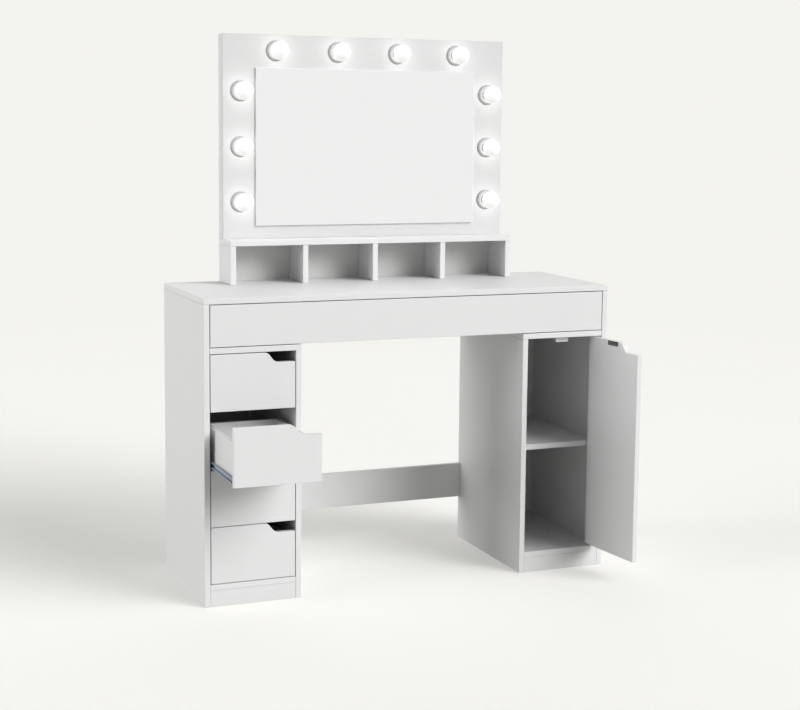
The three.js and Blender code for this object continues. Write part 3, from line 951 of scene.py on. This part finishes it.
def strike_plate():
    """The dark plate near the door's top edge: round corners and a pressed-in field."""
    low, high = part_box("door_strike_plate")
    bm = copy_of("door_strike_plate")
    door_low, door_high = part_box("door_panel")
    outward = max(bm.faces, key=lambda f: f.calc_area()).normal.copy()
    if outward.dot((low + high) / 2 - (door_low + door_high) / 2) < 0:
        outward = -outward
    corners = [
        e
        for e in bm.edges
        if abs((e.verts[0].co - e.verts[1].co).normalized().dot(outward)) > 0.9
    ]
    soften(bm, corners, STRIKE_CORNER_SHARE * (high.z - low.z), 7)
    field = bm.faces.layers.float.new("field")
    face = [f for f in bm.faces if f.normal.dot(outward) > 0.9]
    bmesh.ops.inset_region(bm, faces=face, thickness=STRIKE_RIM, depth=0)
    bmesh.ops.inset_region(bm, faces=face, thickness=0.3 * MM, depth=-STRIKE_PRESSING)
    for f in face:
        f[field] = 1.0
    round_edges(bm, 0.25 * MM, 2)
    finished("door_strike", bm, "cabinet_door", "strike_steel", None, ("door_strike_plate",))


def magnetic_catch():
    """White case under the divider board, with a sunk face that holds two pole plates."""
    low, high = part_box("magnetic_catch")
    bm = box_mesh(low, high)
    front = [f for f in bm.faces if f.normal.y < -0.9]
    bmesh.ops.inset_region(bm, faces=front, thickness=CATCH_RIM, depth=0)
    bmesh.ops.translate(bm, vec=(0, CATCH_SINK, 0), verts=front[0].verts)
    round_edges(bm, 0.5 * MM, 2)
    finished("catch_case", bm, "carcass", "white_plastic", None, ("magnetic_catch",))
    for label, height in POLE_HEIGHTS:
        z = (low.z + high.z) / 2 + height
        plate = box_mesh(
            Vector((low.x + POLE_INSET, low.y + 0.2 * MM, z - 0.8 * MM)),
            Vector((high.x - POLE_INSET, low.y + 3 * MM, z + 0.8 * MM)),
        )
        round_edges(plate, 0.2 * MM, 1)
        finished(f"catch_pole_{label}", plate, "carcass", "zinc_pin")


def door_pivots():
    """The two pins the door turns on, each with its collar in the gap."""
    for node in ("door_pivot_bottom", "door_pivot_top"):
        low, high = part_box(node)
        length = (high.z - low.z) / MM
        collar = PIN_IN_DOOR + 1.0
        if node.endswith("bottom"):
            collar = length - collar
        under, over = collar - COLLAR_HALF, collar + COLLAR_HALF
        outline = [
            (0, 0),
            (1.9, 0),
            (2.5, 0.6),
            (2.5, under),
            (4.7, under),
            (5.0, under + 0.3),
            (5.0, over - 0.3),
            (4.7, over),
            (2.5, over),
            (2.5, length - 0.6),
            (1.9, length),
            (0, length),
        ]
        pin = turned(scaled(outline), 32)
        turn = Matrix.Rotation(math.radians(90), 3, "X")
        place = Vector((*((low + high) / 2).xy, low.z))
        finished(f"{node}_pin", moved(pin, place, turn), "cabinet_door", "zinc_pin", None, (node,))


SHELF_PIN = [(0, 0), (2.1, 0), (2.5, 0.4), (2.5, 7.4), (2.1, 7.8), (0, 7.8)]
SHELF_PIN_DROP = 2.7 * MM
SHELF_PIN_FRONT, SHELF_PIN_REAR = 40 * MM, 50 * MM


def shelf_pins():
    """Four zinc pins under the cabinet shelf."""
    low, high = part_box("cabinet_shelf")
    for side, wall_x, angle in (
        ("left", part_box("side_right_inner")[1].x, -90),
        ("right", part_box("side_right_outer")[0].x, 90),
    ):
        turn = Matrix.Rotation(math.radians(angle), 3, "Z")
        for place, y in (
            ("front", low.y + SHELF_PIN_FRONT),
            ("rear", high.y - SHELF_PIN_REAR),
        ):
            spot = Vector((wall_x, y, low.z - SHELF_PIN_DROP))
            pin = moved(turned(scaled(SHELF_PIN), 20), spot, turn)
            finished(f"shelf_pin_{side}_{place}", pin, "carcass", "zinc_pin")


# ---- rear fittings --------------------------------------------------------------------------

INLET_DEPTH = 13 * MM
PANEL_PIN_INSET = 9 * MM
PANEL_PIN_HEAD = [(0, -0.4), (2.2, -0.4), (2.2, 0.1), (1.5, 0.45), (0, 0.6)]


def power_inlet():
    """Black socket in the back cover with its centre contact."""
    bm = copy_of("power_inlet")
    round_edges(bm, 0.5 * MM, 2, 60.0)
    finished("inlet_socket", bm, "carcass", "black_plastic", None, ("power_inlet",))
    low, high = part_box("power_inlet")
    bore_end = high.y - INLET_DEPTH
    contact = turned(scaled([(0, -1.0), (1.05, -1.0), (1.05, 9.4), (0.7, 10.2), (0, 10.4)]), 20)
    place = Vector(((low.x + high.x) / 2, bore_end + 0.3 * MM, (low.z + high.z) / 2))
    finished("inlet_contact", moved(contact, place), "carcass", "zinc_pin")


def panel_pins(node, count_x, count_z):
    """Small round pin heads round a back panel, one mesh for the panel."""
    low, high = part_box(node)
    left, right = low.x + PANEL_PIN_INSET, high.x - PANEL_PIN_INSET
    bottom, top = low.z + PANEL_PIN_INSET, high.z - PANEL_PIN_INSET
    places = []
    for i in range(count_x):
        x = left + (right - left) * i / (count_x - 1)
        places += [(x, bottom), (x, top)]
    for i in range(1, count_z - 1):
        z = bottom + (top - bottom) * i / (count_z - 1)
        places += [(left, z), (right, z)]
    heads = [
        moved(turned(scaled(PANEL_PIN_HEAD), 14), Vector((x, high.y, z))) for x, z in places
    ]
    finished(f"{node}_pins", joined(heads), "carcass", "zinc_pin")


# ---- studio ---------------------------------------------------------------------------------

# Metres, then degrees: turned right from the Y axis, tipped down, and rolled.
CAMERA_PLACE = (-1.5767, -3.8507, 1.2304)
CAMERA_YAW, CAMERA_PITCH, CAMERA_ROLL = 22.216, 6.709, 0.545
LENS = 69.97
FRAME_SHIFT = -0.06
BACKDROP = (0.902, 0.896, 0.863, 1)


def camera():
    """The camera at the object's left front, a little above the desk, looking slightly down."""
    yaw, pitch, roll = (math.radians(a) for a in (CAMERA_YAW, CAMERA_PITCH, CAMERA_ROLL))
    ahead = Vector(
        (math.sin(yaw) * math.cos(pitch), math.cos(yaw) * math.cos(pitch), -math.sin(pitch))
    )
    right = Vector((math.cos(yaw), -math.sin(yaw), 0))
    up = right.cross(ahead)
    side = right * math.cos(roll) + up * math.sin(roll)
    top = up * math.cos(roll) - right * math.sin(roll)
    data = bpy.data.cameras.new("studio_camera")
    data.lens = LENS
    data.sensor_width = 36.0
    data.shift_y = FRAME_SHIFT
    eye = bpy.data.objects.new("studio_camera", data)
    axes = Matrix((side, top, -ahead)).transposed()
    eye.matrix_world = Matrix.Translation(CAMERA_PLACE) @ axes.to_4x4()
    bpy.context.scene.collection.objects.link(eye)
    bpy.context.scene.camera = eye


def sun(name, towards, strength, softness, shine=True):
    """A soft far light from one direction; without shine it makes no gloss."""
    data = bpy.data.lights.new(name, "SUN")
    data.energy = strength
    data.angle = math.radians(softness)
    lamp = bpy.data.objects.new(name, data)
    lamp.visible_glossy = shine
    lamp.rotation_mode = "QUATERNION"
    lamp.rotation_quaternion = Vector(towards).to_track_quat("Z", "Y")
    bpy.context.scene.collection.objects.link(lamp)


AMBIENT = 0.15
# The floor's own colour, the glow it shows, and the light it passes on to the furniture.
FLOOR_TONE = 0.8
FLOOR_LIFT = 0.382
FLOOR_GLOW = 0.4
FLOOR_GAP = 0.3 * MM
FLOOR_REACH = 120.0
# Metres from the middle, between which the floor becomes one with the backdrop.
FADE_START, FADE_END = 2.5, 6.5


def surroundings():
    """A pale wall to look at, and a weak even light from all round."""
    world = bpy.data.worlds.new("studio")
    world.use_nodes = True
    bpy.context.scene.world = world
    tree = world.node_tree
    light = tree.nodes["Background"]
    light.inputs["Color"].default_value = (1, 1, 1, 1)
    light.inputs["Strength"].default_value = AMBIENT
    wall = tree.nodes.new("ShaderNodeBackground")
    wall.inputs["Color"].default_value = BACKDROP
    mix = tree.nodes.new("ShaderNodeMixShader")
    tree.links.new(seen_directly(tree), mix.inputs["Fac"])
    tree.links.new(light.outputs["Background"], mix.inputs[1])
    tree.links.new(wall.outputs["Background"], mix.inputs[2])
    tree.links.new(mix.outputs["Shader"], tree.nodes["World Output"].inputs["Surface"])


def floor():
    """A plain pale floor that fades into the backdrop."""
    bm = bmesh.new()
    bmesh.ops.create_grid(bm, x_segments=8, y_segments=8, size=FLOOR_REACH)
    bmesh.ops.translate(bm, vec=(0, 0, -FLOOR_GAP), verts=bm.verts)
    mesh = bpy.data.meshes.new("studio_floor")
    bm.to_mesh(mesh)
    bm.free()
    plane = bpy.data.objects.new("studio_floor", mesh)
    bpy.context.scene.collection.objects.link(plane)
    finish = Finish("floor_pale", (0, 0, 0), 0.9)
    tree = finish.tree
    away = tree.nodes.new("ShaderNodeVectorMath")
    away.operation = "LENGTH"
    tree.links.new(finish.place, away.inputs[0])
    far = away.outputs["Value"]
    near = remap(tree, far, FADE_START, FADE_END, 1.0, 0.0)
    dapple = remap(tree, noise(tree, finish.place, 1.1, 3.0), 0.3, 0.7, 0.985, 1.0)
    lit = shown_or_thrown(tree, math_node(tree, "MULTIPLY", near, dapple), 0.0)
    finish.tint(lit, tuple(FLOOR_TONE * c for c in BACKDROP[:3]))
    lift = remap(tree, far, FADE_START, FADE_END, FLOOR_LIFT, 1.0)
    emit(finish, shown_or_thrown(tree, lift, FLOOR_GLOW), BACKDROP)
    finish.shader.inputs["Emission Strength"].default_value = 1.0
    finish.shader.inputs["Specular IOR Level"].default_value = 0.0
    mesh.materials.append(finish.done())


def studio():
    bpy.context.scene.view_settings.view_transform = "Standard"
    camera()
    surroundings()
    floor()
    sun("key", (0.56, -0.66, 0.52), 2.6, 40)
    sun("right_fill", (0.75, -0.6, 0.28), 0.6, 40)
    sun("left_fill", (-0.95, 0.06, 0.17), 1.95, 36)
    sun("rear_fill", (0.3, 0.9, 0.2), 0.8, 60, shine=False)


# ---- assembly -------------------------------------------------------------------------------

studio()
all_boards()
mirror_pane()
lamps()
all_drawers()
strike_plate()
magnetic_catch()
door_pivots()
shelf_pins()
power_inlet()
panel_pins("back_left", 4, 7)
panel_pins("back_right", 4, 7)
panel_pins("hutch_back", 9, 2)
panel_pins("mirror_back_cover", 7, 5)
